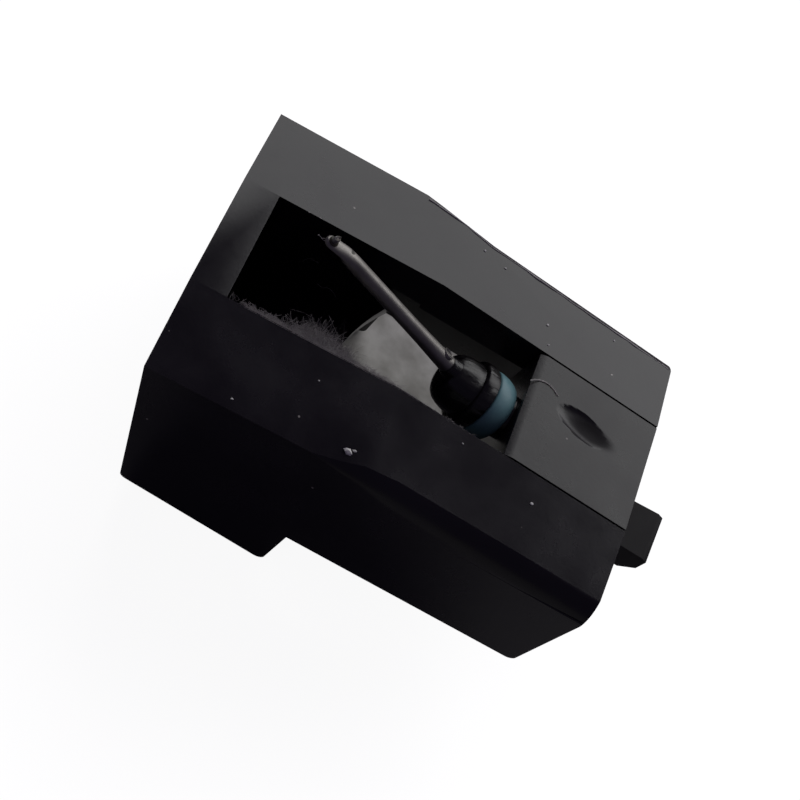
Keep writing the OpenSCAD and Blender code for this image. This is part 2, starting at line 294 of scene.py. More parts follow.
def soft_light(name, azimuth, elevation, distance, size, strength):
    """A rectangle of so many metres that faces the part; strength is its brightness."""
    a, e = math.radians(azimuth), math.radians(elevation)
    way = Vector((math.cos(a) * math.cos(e), math.sin(a) * math.cos(e), math.sin(e)))
    lamp = bpy.data.lights.new(name, "AREA")
    lamp.shape = "RECTANGLE"
    lamp.size, lamp.size_y = size
    lamp.energy = strength * math.pi * size[0] * size[1]
    stand = bpy.data.objects.new(name, lamp)
    bpy.context.scene.collection.objects.link(stand)
    stand.location = way * distance
    stand.rotation_mode = "QUATERNION"
    stand.rotation_quaternion = way.to_track_quat("Z", "Y")
    return stand


soft_light("window", 72, 35, 0.4, (0.64, 0.318), 1.6)
bpy.context.scene.view_settings.view_transform = "Standard"

# %% [markdown]
# ## Black moulded plastic
# The housing is injection moulded ABS from a finely eroded tool: an even satin that turns grey
# towards the light. Handling has left cloudy smears, a little shinier or duller than the rest,
# and grains of dust sit on it. All three are noises of different real sizes:
# clouds of 3 mm, a grain of under a tenth of a millimetre, and rare specks.


# %% Dust and relief
def dusted(tree, place, under, share):
    """Round grains of dust in a share of the cells, over the plastic's own colour."""
    spots = node(tree, "ShaderNodeTexVoronoi", {"Vector": place, "Scale": 1 / (0.42 * MM)})
    which = node(tree, "ShaderNodeSeparateColor", {0: spots.outputs["Color"]})
    chosen = node(
        tree, "ShaderNodeMath", {0: which.outputs[0], 1: 1 - share}, operation="GREATER_THAN"
    )
    small = node(
        tree,
        "ShaderNodeMapRange",
        {
            "Value": spots.outputs["Distance"],
            "From Min": 0.05,
            "From Max": 0.12,
            "To Min": 1,
            "To Max": 0,
        },
    )
    grain_of_dust = node(
        tree, "ShaderNodeMath", {0: chosen.outputs[0], 1: small.outputs[0]}, operation="MULTIPLY"
    )
    return node(
        tree,
        "ShaderNodeMix",
        {0: grain_of_dust.outputs[0], 6: under.outputs[2], 7: linear("#a9a39f")},
        data_type="RGBA",
    )


def moulded_relief(tree, place, grain_mm):
    """The tool's fine erosion, and the slow waviness that a moulding takes as it shrinks."""
    grain = node(
        tree,
        "ShaderNodeTexNoise",
        {"Vector": place, "Scale": 1 / (grain_mm * MM), "Detail": 2},
    )
    relief = node(
        tree,
        "ShaderNodeBump",
        {"Height": grain.outputs[0], "Strength": 0.3, "Distance": 0.006 * MM},
    )
    sink = node(tree, "ShaderNodeTexNoise", {"Vector": place, "Scale": 1 / (2.4 * MM), "Detail": 1})
    return node(
        tree,
        "ShaderNodeBump",
        {
            "Height": sink.outputs[0],
            "Normal": relief.outputs[0],
            "Strength": 0.35,
            "Distance": 0.05 * MM,
        },
    )


def dull_oval(tree, place, cloud, rub, middle, half_sizes, turn):
    """An oval patch rubbed dull, with a wandering edge, in millimetres and degrees."""
    about = node(
        tree,
        "ShaderNodeMapping",
        {
            "Vector": place,
            "Location": [length * MM for length in middle],
            "Rotation": (0, 0, math.radians(turn)),
            "Scale": (half_sizes[0] * MM, half_sizes[1] * MM, 1),
        },
        vector_type="TEXTURE",
    )
    away = node(tree, "ShaderNodeVectorMath", {0: about.outputs[0]}, operation="LENGTH")
    wander = node(
        tree,
        "ShaderNodeMath",
        {0: cloud.outputs[0], 1: 0.9, 2: away.outputs["Value"]},
        operation="MULTIPLY_ADD",
    )
    inside = node(
        tree,
        "ShaderNodeMapRange",
        {
            "Value": wander.outputs[0],
            "From Min": 0.95,
            "From Max": 1.6,
            "To Min": 1,
            "To Max": 0,
        },
        interpolation_type="SMOOTHSTEP",
    )
    return node(
        tree,
        "ShaderNodeMix",
        {0: inside.outputs[0], 2: rub.outputs[0], 3: 0.85},
        data_type="FLOAT",
    )


print("three helpers for moulded plastic")

# %% [markdown]
# The three black finishes are one recipe with other numbers: how dark, how dull, how dusty.
# ABS has an IOR of about 1.53, which sets how much of the window it mirrors.


# %% Black moulded plastic
def black_plastic(name, colours, roughness, grain_mm, dusty, oval=None):
    """Moulded ABS: two shades of black, its shine, its grain, its dust, and a dull oval."""
    finish, tree, shader, place = new_finish(name)
    cloud = node(
        tree,
        "ShaderNodeTexNoise",
        {"Vector": place, "Scale": 1 / (3 * MM), "Detail": 5, "Roughness": 0.62},
    )
    smear = node(
        tree,
        "ShaderNodeMapRange",
        {"Value": cloud.outputs[0], "From Min": 0.38, "From Max": 0.66},
        interpolation_type="SMOOTHSTEP",
    )
    tint = node(
        tree,
        "ShaderNodeMix",
        {0: smear.outputs[0], 6: linear(colours[0]), 7: linear(colours[1])},
        data_type="RGBA",
    )
    rub = node(
        tree,
        "ShaderNodeMapRange",
        {
            "Value": cloud.outputs[0],
            "From Min": 0.3,
            "From Max": 0.7,
            "To Min": roughness[0],
            "To Max": roughness[1],
        },
    )
    sheen = dull_oval(tree, place, cloud, rub, *oval) if oval else rub
    colour = dusted(tree, place, tint, dusty)
    relief = moulded_relief(tree, place, grain_mm)
    tree.links.new(colour.outputs[2], shader.inputs["Base Color"])
    tree.links.new(sheen.outputs[0], shader.inputs["Roughness"])
    tree.links.new(relief.outputs[0], shader.inputs["Normal"])
    shader.inputs["IOR"].default_value = 1.53
    return finish


housing_plastic = black_plastic(
    "black ABS, fine eroded", ("#0d080f", "#151018"), (0.2, 0.3), 0.09, 0.04
)
# the thumb's dimple in the panel: middle, half sizes and turn
DIMPLE = ((9.95, 0.45, 6.06), (1.05, 0.42), -8)
holder_plastic = black_plastic(
    "black ABS, rubbed", ("#0f0c10", "#191519"), (0.23, 0.35), 0.12, 0.05, DIMPLE
)
tab_plastic = black_plastic(
    "black ABS, worn dull", ("#0b080b", "#191416"), (0.62, 0.78), 0.16, 0.1
)

# %% [markdown]
# ## Housing
# One injection moulding: the raked nose, the window, the strip, two shoulders and thin side walls.
# A mould can't make a knife edge, so every corner of the real one is broken by a few hundredths
# of a millimetre, and that is what catches the light as a thin line.
# The solid's mesh is copied, its triangles are joined to flat faces, and its edges are bevelled.


# %% Housing
def soft_edged_copy(name, node_name, edge_mm, sharper_than):
    """A copy of a solid with its edges sharper than so many degrees broken by edge_mm."""
    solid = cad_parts[node_name]
    piece = bpy.data.objects.new(name, solid.data.copy())
    bpy.context.scene.collection.objects.link(piece)
    edit(piece)
    bpy.ops.mesh.remove_doubles(threshold=1e-7)
    bpy.ops.mesh.dissolve_limited(angle_limit=math.radians(0.4))
    bpy.ops.object.mode_set(mode="OBJECT")
    edge = piece.modifiers.new("broken edges", "BEVEL")
    edge.width = edge_mm * MM
    edge.segments = 3
    edge.limit_method = "ANGLE"
    edge.angle_limit = math.radians(sharper_than)
    edge.miter_outer = "MITER_ARC"
    bpy.ops.object.modifier_apply(modifier=edge.name)
    bpy.ops.object.shade_smooth()
    flat = piece.modifiers.new("flat faces stay flat", "WEIGHTED_NORMAL")
    flat.weight = 80
    bpy.ops.object.modifier_apply(modifier=flat.name)
    return piece


housing = soft_edged_copy("housing_shell", "housing", 0.07, 24)
put_on(housing, "shell", "housing", housing_plastic, "housing")

# %% [markdown]
# ## Holder and tab
# A second moulding slides into the housing from behind: its flat panel closes the window's rear,
# and its tab is what a finger pulls on. It is handled more, so its plastic is a little duller,
# and the tab's is duller still.

# %% Holder and tab
holder = soft_edged_copy("holder_block", "stylus_holder", 0.045, 30)


def slope_front(piece):
    """Slopes what ends in front of the panel, along the drooping damper's rear face."""
    for corner in piece.data.vertices:
        over_axis = corner.co.z - AXIS_Z * MM
        if corner.co.x < 7.1 * MM and abs(over_axis) < 0.95 * MM:
            corner.co.x += 0.04 * MM + over_axis * math.tan(math.radians(DROOP))


slope_front(holder)
# the pull tab, behind the rear face, leans a little to the near side
TAB_LEAN = 0.16
for corner in holder.data.vertices:
    if corner.co.x > (REAR_X + 0.02) * MM:
        corner.co.z += TAB_LEAN * corner.co.y
put_on(holder, "shell", "stylus_holder", holder_plastic, "stylus_holder")
holder.data.materials.append(tab_plastic)
for face in holder.data.polygons:
    if face.center.x > (REAR_X + 0.06) * MM:
        face.material_index = 1

# %% [markdown]
# ## Parting line
# Where the two halves of the mould met, a fine ridge runs along the side, just under the rounding.
# It starts thin at the cross crease and ends at the rear face: a slim rod sunk into the wall.

# %% Parting line
RIDGE_Z = 4.88
for side, label in ((-1, "near"), (1, "far")):
    clear_selection()
    bpy.ops.mesh.primitive_cylinder_add(
        vertices=12,
        radius=0.05 * MM,
        depth=10.45 * MM,
        location=(7.03 * MM, side * 5.375 * MM, RIDGE_Z * MM),
        rotation=(0, math.radians(90), 0),
    )
    ridge = bpy.context.object
    ridge.name = "parting_line_" + label
    bpy.ops.object.transform_apply(location=True, rotation=True, scale=True)
    edit(ridge)
    bpy.ops.mesh.select_all(action="DESELECT")
    bpy.ops.object.mode_set(mode="OBJECT")
    for corner in ridge.data.vertices:
        corner.select = corner.co.x < 3 * MM
    bpy.ops.object.mode_set(mode="EDIT")
    bpy.ops.transform.resize(
        value=(1, 0.25, 0.25),
        center_override=(1.8 * MM, side * 5.37 * MM, RIDGE_Z * MM),
    )
    bpy.ops.object.mode_set(mode="OBJECT")
    bpy.ops.object.shade_smooth_by_angle(angle=math.radians(50))
    put_on(ridge, "shell", "housing", housing_plastic)

# %% [markdown]
# ## Painted edge highlight
# Along the far rounding, the crease where the shoulder meets the rounding catches the window light
# as a bright line.
# That highlight is painted: a pale, thin uneven bead follows that edge, thicker in places.

# %% Painted edge highlight finish
# pale and blotchy: a painted highlight, the bright broken line that this crease shows towards the
# window
painted_edge_highlight, tree, shader, place = new_finish("pale bead, painted edge highlight")
highlight_blotch = node(tree, "ShaderNodeTexNoise", {"Vector": place, "Scale": 1 / (0.5 * MM), "Detail": 4})
uneven(tree, shader, highlight_blotch, ("#6f6b6d", "#e2dedd"), (0.4, 0.7))
shader.inputs["IOR"].default_value = 1.53

# %% [markdown]
# ## Turned and moulded round pieces
# The damper, the carrier, the sleeve, the magnet and the tip are all round about an axis.
# Each starts as a circle, and is extruded ring by ring: along the axis, then in or out.
# A ring list reads like a drawing: distance along the axis and radius, both in millimetres.


# %% Round pieces
def turned(name, rings, sides=72, closed=False):
    """Extrudes a circle along Z through a list of (distance, radius); closed makes a ring."""
    clear_selection()
    height, radius = rings[0]
    bpy.ops.mesh.primitive_circle_add(
        vertices=sides,
        radius=radius * MM,
        location=(0, 0, height * MM),
        fill_type="NOTHING" if closed else "NGON",
    )
    piece = bpy.context.object
    piece.name = name
    bpy.ops.object.transform_apply(location=True, rotation=True, scale=True)
    edit(piece)
    for next_height, next_radius in rings[1:]:
        bpy.ops.mesh.extrude_region_move(
            TRANSFORM_OT_translate={"value": (0, 0, (next_height - height) * MM)}
        )
        share = next_radius / radius
        bpy.ops.transform.resize(
            value=(share, share, 1), center_override=(0, 0, next_height * MM)
        )
        height, radius = next_height, next_radius
    bpy.ops.mesh.select_all(action="SELECT")
    bpy.ops.mesh.remove_doubles(threshold=2e-7)
    bpy.ops.mesh.normals_make_consistent(inside=False)
    bpy.ops.object.mode_set(mode="OBJECT")
    return piece


def settle(piece, turn, x, y, z):
    """Turns a finished shape and sets it at its place in mm, all of it kept in the mesh."""
    activate(piece)
    piece.matrix_world = Matrix.Translation(Vector((x, y, z)) * MM) @ turn
    bpy.ops.object.transform_apply(location=True, rotation=True, scale=True)
    bpy.ops.object.shade_smooth_by_angle(angle=math.radians(38))
    return piece


to_rear = Matrix.Rotation(math.radians(90), 4, "Y")
drooped = Matrix.Rotation(math.radians(90 + DROOP), 4, "Y")
along_tube = Matrix.Rotation(math.radians(TUBE_RISE - 90), 4, "Y")

# %% [markdown]
# ## Damper
# A ring of soft blue-green rubber, held between the carrier's rim and the holder's boss.
# It is the spring and the shock absorber in one. Cut rubber has blunt edges and a soft sheen,
# slightly blotchy where it has taken up dust and skin oil.

# %% Damper finish
# soft and matt with blotches of half a millimetre, and pores fine enough to blur the light
rubber, tree, shader, place = new_finish("blue-green damping rubber")
blotch = node(
    tree, "ShaderNodeTexNoise", {"Vector": place, "Scale": 1 / (0.5 * MM), "Detail": 4}
)
uneven(tree, shader, blotch, ("#52808a", "#86aeb4"), (0.3, 0.55))
pores = node(tree, "ShaderNodeTexNoise", {"Vector": place, "Scale": 1 / (0.07 * MM), "Detail": 2})
pore_relief = node(
    tree,
    "ShaderNodeBump",
    {"Height": pores.outputs[0], "Strength": 0.35, "Distance": 0.01 * MM},
)
tree.links.new(pore_relief.outputs[0], shader.inputs["Normal"])

# %% [markdown]
# The ring is turned around its axis, then tipped nose up and set at the pivot.
# Its rings run along the outside from front to rear, and back through the hole.

# %% Damper
# distances along the axis from the pivot; the rear is a little narrower than the front
damper = turned(
    "damper_ring",
    [
        (-0.42, 0.31),
        (-0.43, 0.33),
        (-0.43, 1.12),
        (-0.415, 1.16),
        (-0.37, 1.19),
        (-0.25, 1.205),
        (0.0, 1.19),
        (0.2, 1.145),
        (0.33, 1.09),
        (0.37, 1.05),
        (0.38, 1.0),
        (0.38, 0.33),
        (0.37, 0.31),
        (-0.42, 0.31),
    ],
    sides=96,
    closed=True,
)
settle(damper, drooped, PIVOT_X, 0, AXIS_Z)
put_on(damper, "pivot", "damper", rubber, "damper")

# %% [markdown]
# ## Carrier
# A black bell of glossy plastic joins the cantilever to the magnet. Its front is round,
# its back flares to a rim against the damper, and a collar with an open mouth takes the tube.
# It was polished by its mould and keeps fine streaks along the axis.

# %% Carrier finish
# nearly black and shiny: the window shows as a clear patch, broken up by streaks along the axis
gloss, tree, shader, place = new_finish("glossy black moulded nylon")
streak_place = node(tree, "ShaderNodeMapping", {"Vector": place, "Scale": (0.25, 1, 1)})
streak = node(
    tree,
    "ShaderNodeTexNoise",
    {"Vector": streak_place.outputs[0], "Scale": 1 / (0.22 * MM), "Detail": 4},
)
uneven(tree, shader, streak, ("#070507", "#141013"), (0.2, 0.4), contrast=(0.35, 0.65))
ripple = node(
    tree,
    "ShaderNodeBump",
    {"Height": streak.outputs[0], "Strength": 0.7, "Distance": 0.05 * MM},
)
tree.links.new(ripple.outputs[0], shader.inputs["Normal"])
shader.inputs["IOR"].default_value = 1.53

# %% [markdown]
# The bell and its collar are two turned shapes, each about its own axis, joined into one piece.
# The collar's foot is hidden inside the bell, so the two surfaces meet without a gap.

# %% Carrier
# distances from the pivot: front, round shoulder, step, flared rim
bell = turned(
    "carrier_bell",
    [
        (-1.98, 0.4),
        (-1.975, 0.54),
        (-1.94, 0.67),
        (-1.86, 0.79),
        (-1.72, 0.89),
        (-1.52, 0.96),
        (-1.3, 1.0),
        (-1.1, 1.01),
        (-1.03, 1.0),
        (-1.0, 1.01),
        (-0.985, 1.08),
        (-0.96, 1.15),
        (-0.92, 1.185),
        (-0.85, 1.2),
        (-0.7, 1.205),
        (-0.57, 1.2),
        (-0.48, 1.18),
        (-0.45, 1.14),
        (-0.44, 0.55),
    ],
    sides=96,
)
settle(bell, drooped, PIVOT_X, 0, AXIS_Z)
# measured along the tube from the pivot: the foot inside the bell, the lip, the open mouth
collar = turned(
    "carrier_collar",
    [
        (1.5, 0.56),
        (1.68, 0.5),
        (1.85, 0.44),
        (2.02, 0.395),
        (2.16, 0.365),
        (2.26, 0.345),
        (2.29, 0.33),
        (2.28, 0.31),
        (2.2, 0.3),
        (1.8, 0.275),
    ],
    sides=64,
)
settle(collar, along_tube, PIVOT_X, 0, AXIS_Z)
bell.select_set(True)
bpy.context.view_layer.objects.active = bell
bpy.ops.object.join()
put_on(bell, "moving_stylus", "carrier", gloss, "carrier")

# %% [markdown]
# ## Cantilever
# Drawn aluminium tube, half a millimetre across, squeezed flat at its end and bent a little back,
# so that the tip stands square to the record. It starts as a circle like the other round pieces,
# but its last rings get wider and thinner step by step. Drawing leaves fine lines along it.

# %% Cantilever finish
# a dull grey metal: the drawing lines blur the light along the tube, and tarnish spots darken it
drawn, tree, shader, place = new_finish("drawn aluminium")
lengthwise = node(
    tree,
    "ShaderNodeMapping",
    {"Vector": place, "Rotation": (0, math.radians(TUBE_RISE), 0), "Scale": (0.06, 1, 1)},
    vector_type="POINT",
)
lines = node(
    tree,
    "ShaderNodeTexNoise",
    {"Vector": lengthwise.outputs[0], "Scale": 1 / (0.05 * MM), "Detail": 3},
)
stain = node(tree, "ShaderNodeTexNoise", {"Vector": place, "Scale": 1 / (0.6 * MM), "Detail": 4})
tarnish = node(
    tree,
    "ShaderNodeMix",
    {0: stain.outputs[0], 6: linear("#74716d"), 7: linear("#a8a5a1")},
    data_type="RGBA",
)
drag = node(
    tree, "ShaderNodeMapRange", {"Value": lines.outputs[0], "To Min": 0.38, "To Max": 0.6}
)
line_relief = node(
    tree,
    "ShaderNodeBump",
    {"Height": lines.outputs[0], "Strength": 0.25, "Distance": 0.008 * MM},
)
tree.links.new(tarnish.outputs[2], shader.inputs["Base Color"])
tree.links.new(drag.outputs[0], shader.inputs["Roughness"])
tree.links.new(line_relief.outputs[0], shader.inputs["Normal"])
shader.inputs["Metallic"].default_value = 1

# %% [markdown]
# The round tube is turned first, a little wider at its root. Its end is then extruded twelve times,
# thinner each time, and bent back in two steps of seven degrees.

# %% Cantilever
FLAT_START = 7.85
tube = turned(
    "cantilever_tube",
    [(1.79, 0.2), (1.79, 0.3), (2.4, 0.305), (2.9, 0.293), (3.6, 0.272), (4.4, 0.261), (7.1, 0.26)],
    sides=48,
)
edit(tube)
bpy.ops.mesh.select_all(action="DESELECT")
bpy.ops.object.mode_set(mode="OBJECT")
for face in tube.data.polygons:
    face.select = face.center.z > 7.09 * MM
bpy.ops.object.mode_set(mode="EDIT")
thick, wide, height = 0.26, 0.26, 7.1
# height along the tube, half thickness, half width
for next_height, next_thick, next_wide in (
    (7.3, 0.257, 0.262),
    (7.48, 0.24, 0.266),
    (7.62, 0.21, 0.268),
    (7.74, 0.17, 0.262),
    (7.86, 0.135, 0.252),
    (8.0, 0.118, 0.244),
    (8.2, 0.11, 0.24),
    (8.3, 0.11, 0.238),
    (8.4, 0.11, 0.216),
    (8.47, 0.105, 0.168),
    (8.52, 0.09, 0.097),
    (8.54, 0.06, 0.04),
):
    bpy.ops.mesh.extrude_region_move(
        TRANSFORM_OT_translate={"value": (0, 0, (next_height - height) * MM)}
    )
    bpy.ops.transform.resize(
        value=(next_thick / thick, next_wide / wide, 1), center_override=(0, 0, next_height * MM)
    )
    thick, wide, height = next_thick, next_wide, next_height
bpy.ops.object.mode_set(mode="OBJECT")
# the bend, shared by two places so that it stays round
half_bend = Matrix.Rotation(math.radians(-FLAT_BEND / 2), 3, "Y")
for bend_at in (7.74, 7.96):
    for corner in tube.data.vertices:
        corner.select = corner.co.z > bend_at * MM
    hinge = Vector((0, 0, FLAT_START * MM))
    for corner in tube.data.vertices:
        if corner.select:
            corner.co = hinge + half_bend @ (corner.co - hinge)
settle(tube, along_tube, PIVOT_X, 0, AXIS_Z)
put_on(tube, "moving_stylus", "cantilever", drawn, "cantilever")

# %% [markdown]
# ## Tip
# A short steel shank stands in a hole of the flattened end and carries the diamond on its point.
# Everything is tiny: the shank is a fifth of a millimetre thick, the diamond's end is finer than
# a hair. A bead of glue closes the hole around the shank.

# %% Tip finishes
# ground steel: bright, with fine grinding marks of a few hundredths of a millimetre
ground, tree, shader, place = new_finish("ground steel")
grind = node(tree, "ShaderNodeTexNoise", {"Vector": place, "Scale": 1 / (0.04 * MM), "Detail": 3})
uneven(tree, shader, grind, ("#77757a", "#a9a8ab"), (0.25, 0.45))
shader.inputs["Metallic"].default_value = 1

# diamond: bends light strongly, so it sparkles even when it is dusty yellow
crystal, tree, shader, place = new_finish("diamond, polished")
tinge = node(tree, "ShaderNodeTexNoise", {"Vector": place, "Scale": 1 / (0.1 * MM), "Detail": 2})
uneven(tree, shader, tinge, ("#d8d2b4", "#f2efdf"), (0.02, 0.1))
shader.inputs["Transmission Weight"].default_value = 0.7
shader.inputs["IOR"].default_value = 2.42

# aged epoxy: dark olive, glossy where it has flowed and dull where dust has stuck
resin, tree, shader, place = new_finish("aged epoxy, olive brown")
murk = node(tree, "ShaderNodeTexNoise", {"Vector": place, "Scale": 1 / (0.08 * MM), "Detail": 3})
uneven(tree, shader, murk, ("#15140a", "#4c4937"), (0.2, 0.5))
shader.inputs["IOR"].default_value = 1.55

# %% [markdown]
# Shank, stone and glue bead share one axis, which is nearly square to the record.
# Each is turned from a few rings, the stone with few sides so that it keeps facets.

# %% Tip
upright = Matrix.Rotation(math.radians(TUBE_RISE - FLAT_BEND), 4, "Y")
TIP_FOOT = (-0.848, 0, 8.542)
shank = turned(
    "tip_shank_pin",
    [(-0.215, 0.085), (-0.2, 0.1), (0.19, 0.1), (0.215, 0.095), (0.22, 0.088)],
    sides=32,
)
settle(shank, upright, *TIP_FOOT)
put_on(shank, "moving_stylus", "tip_shank", ground, "tip_shank")
stone = turned(
    "diamond_point",
    [
        (0.22, 0.088),
        (0.25, 0.086),
        (0.3, 0.058),
        (0.36, 0.026),
        (0.38, 0.017),
        (0.396, 0.01),
        (0.4, 0.003),
    ],
    sides=16,
)
settle(stone, upright, *TIP_FOOT)
put_on(stone, "moving_stylus", "diamond", crystal, "diamond")
bead = turned(
    "tip_glue",
    [
        (-0.02, 0.14),
        (0.0, 0.17),
        (0.02, 0.16),
        (0.045, 0.125),
        (0.06, 0.1),
        (0.05, 0.095),
        (-0.02, 0.095),
    ],
    sides=32,
)
settle(bead, upright, *TIP_FOOT)
put_on(bead, "moving_stylus", "cantilever", resin)

# %% [markdown]
# ## Glue spots
# Whoever assembled it left a little resin where the tube is squeezed, in the step where the flat
# begins;
# the dark olive drop is that glue and also painted shade of the step.
# A drop that has run is never round, so a ball is squashed, then its corners are pushed about.


# %% Glue spots
def glue_drop(name, x, y, z, size, squash, seed):
    """A squashed and slightly lumpy ball, placed in mm."""
    clear_selection()
    bpy.ops.mesh.primitive_ico_sphere_add(
        subdivisions=3, radius=size * MM, location=(x * MM, y * MM, z * MM)
    )
    drop = bpy.context.object
    drop.name = name
    bpy.ops.object.transform_apply(location=True, rotation=True, scale=True)
    edit(drop)
    centre = (x * MM, y * MM, z * MM)
    bpy.ops.transform.resize(value=squash, center_override=centre)
    bpy.ops.transform.vertex_random(offset=size * 0.08 * MM, normal=0.8, seed=seed)
    bpy.ops.mesh.vertices_smooth(factor=0.5, repeat=2)
    bpy.ops.object.mode_set(mode="OBJECT")
    bpy.ops.object.shade_smooth()
    return drop


# glue, and painted shade of the squeezed step
squeeze_glue_and_shade = glue_drop("squeeze_glue_and_shade", -0.22, 0.06, 8.36, 0.13, (1.3, 1, 0.7), 3)
put_on(squeeze_glue_and_shade, "moving_stylus", "cantilever", resin)

# %% [markdown]
# ## Vent
# Where the tube goes into the collar, a small hole in its upper side let the air out
# when the two were pushed together. It is a shallow well painted black, the painted shade of the
# hole, with a raised bright rim.

# %% Vent
outward = Vector((0.389, 0.46, 0.797)).normalized()
vent_turn = outward.to_track_quat("Z", "Y").to_matrix().to_4x4()
rise = math.radians(TUBE_RISE)
VENT_ALONG, VENT_OUT = 2.62, 0.29
on_axis = Vector((PIVOT_X - VENT_ALONG * math.cos(rise), 0, AXIS_Z + VENT_ALONG * math.sin(rise)))
VENT = on_axis + VENT_OUT * outward
vent_rim = turned(
    "vent_rim",
    [
        (-0.06, 0.17),
        (-0.06, 0.23),
        (0.0, 0.22),
        (0.03, 0.205),
        (0.035, 0.19),
        (0.01, 0.17),
        (-0.06, 0.17),
    ],
    sides=32,
    closed=True,
)
settle(vent_rim, vent_turn, *VENT)
put_on(vent_rim, "moving_stylus", "cantilever", drawn)
# black plastic in the shallow well: painted shade of the hole's depth
vent_well_painted_shade = turned(
    "vent_well_painted_shade", [(-0.05, 0.17), (0.0, 0.175), (0.012, 0.16), (0.004, 0.08)], sides=32
)
settle(vent_well_painted_shade, vent_turn, *VENT)
put_on(vent_well_painted_shade, "moving_stylus", "cantilever", tab_plastic)

# %% [markdown]
# ## Magnet, wire and sleeve
# These sit inside: the magnet in the bell, the steel wire that hangs the bell from the holder,
# and the brass sleeve that grips the wire. A chamfer on each end, as a lathe leaves it.

# %% Inner finishes
# nickel plate: a warm mirror, slightly clouded
nickel, tree, shader, place = new_finish("nickel plate")
plate = node(tree, "ShaderNodeTexNoise", {"Vector": place, "Scale": 1 / (0.3 * MM), "Detail": 3})
uneven(tree, shader, plate, ("#8d8984", "#b5b1aa"), (0.18, 0.35))
shader.inputs["Metallic"].default_value = 1

# turned brass: yellow, with rings that the lathe tool left around the axis
brass, tree, shader, place = new_finish("turned brass")
ring_place = node(tree, "ShaderNodeMapping", {"Vector": place, "Scale": (1, 0.1, 0.1)})
tool = node(
    tree,
    "ShaderNodeTexNoise",
    {"Vector": ring_place.outputs[0], "Scale": 1 / (0.06 * MM), "Detail": 3},
)
uneven(tree, shader, tool, ("#9a7838", "#c9a55c"), (0.22, 0.42))
shader.inputs["Metallic"].default_value = 1

# %% [markdown]
# The magnet tips with the carrier that grips it. The wire and the sleeve stay level.

# %% Magnet, wire and sleeve
magnet = turned(
    "magnet_rod",
    [(-1.36, 0.46), (-1.32, 0.5), (-0.4, 0.5), (-0.37, 0.47), (-0.37, 0.1), (-0.4, 0.07)],
    sides=64,
)
settle(magnet, drooped, PIVOT_X, 0, AXIS_Z)
put_on(magnet, "moving_stylus", "magnet", nickel, "magnet")
wire = turned(
    "steel_wire", [(0, 0.05), (0.01, 0.06), (1.0, 0.06), (2.03, 0.06), (2.045, 0.05)], sides=24
)
settle(wire, to_rear, 5.78, 0, AXIS_Z)
put_on(wire, "moving_stylus", "suspension_wire", ground, "suspension_wire")
sleeve = turned(
    "brass_sleeve",
    [
        (0, 0.33),
        (0, 0.42),
        (0.03, 0.45),
        (3.37, 0.45),
        (3.4, 0.42),
        (3.4, 0.33),
        (3.37, 0.3),
        (0.03, 0.3),
        (0, 0.33),
    ],
    sides=64,
    closed=True,
)
settle(sleeve, to_rear, 6.98, 0, AXIS_Z)
slope_front(sleeve)
put_on(sleeve, "shell", "wire_sleeve", brass, "wire_sleeve")

# %% [markdown]
# ## Lint and dust
# A stylus picks dust out of the groove. Grey fluff hangs on the near edge of the window,
# one pale hair lies over the panel, and a few grains stick to the shoulders.
# Each fibre is a path with a few points and a thin round section, turned into a mesh.

# %% Dust finishes
# textile lint: dry grey cotton and wool, which never shines
fluff, tree, shader, place = new_finish("textile lint")
mix_up = node(tree, "ShaderNodeTexNoise", {"Vector": place, "Scale": 1 / (0.3 * MM), "Detail": 2})
uneven(tree, shader, mix_up, ("#7d787d", "#b8b2b1"), (0.7, 0.95))

# nylon: a pale hair that glows a little, because the light behind it passes through
nylon, tree, shader, place = new_finish("pale nylon hair, light passes through it")
band = node(tree, "ShaderNodeTexNoise", {"Vector": place, "Scale": 1 / (0.2 * MM), "Detail": 2})
uneven(tree, shader, band, ("#d8d2ce", "#fbf8f4"), (0.3, 0.5))
shader.inputs["Transmission Weight"].default_value = 0.5

# mineral dust: almost white, rough all over
grit, tree, shader, place = new_finish("mineral dust grains")
speckle = node(tree, "ShaderNodeTexNoise", {"Vector": place, "Scale": 1 / (0.05 * MM), "Detail": 2})
uneven(tree, shader, speckle, ("#cfcac5", "#ffffff"), (0.5, 0.9))


# %% Fibres
def record_face(x, y):
    """Height of the record side at x and y, all in mm."""
    if x < CREASE_X:
        rise = (x - NOSE_X) / (CREASE_X - NOSE_X)
        strip = NOSE_TOP + (CREASE_TOP - NOSE_TOP) * rise
    else:
        fall = (x - CREASE_X) / (REAR_X - CREASE_X)
        strip = CREASE_TOP - (CREASE_TOP - REAR_TOP) * fall
    return strip - max(0, abs(y) - HALF_STRIP) * math.tan(math.radians(SHOULDER_SLOPE))


def fibres(name, strands, thickest_mm, smoothness=2, roundness=0):
    """Strands are (five or more points, share of the thickest radius, or one share a point)."""
    clear_selection()
    bpy.ops.curve.primitive_nurbs_path_add()
    bundle = bpy.context.object
    bundle.name = name
    for count, (points, share) in enumerate(strands):
        spline = bundle.data.splines[0] if count == 0 else bundle.data.splines.new("NURBS")
        spline.use_endpoint_u = True
        spline.order_u = 4
        # the first path comes with five points, a new one with one
        spline.points.add(len(points) - len(spline.points))
        shares = share if isinstance(share, list) else [share] * len(points)
        for control, point, thickness in zip(spline.points, points, shares):
            control.co = (*(Vector(point) * MM), 1)
            control.radius = thickness
    bundle.data.dimensions = "3D"
    bundle.data.resolution_u = smoothness
    bundle.data.bevel_depth = thickest_mm * MM
    bundle.data.bevel_resolution = roundness
    bundle.data.use_fill_caps = True
    bpy.ops.object.convert(target="MESH")
    bpy.ops.object.shade_smooth()
    return bpy.context.object


print("record side at the nose and the rear:", record_face(NOSE_X, 0), record_face(REAR_X, 0))

# %% [markdown]
# ## Fluff in the window
# Six tufts cling to the window's near edge, each with its own spread and reach.
# Every fibre starts on the edge and wanders at random, but never above the record side.

# %% Fluff in the window
chance = random.Random(12)
tufts = []
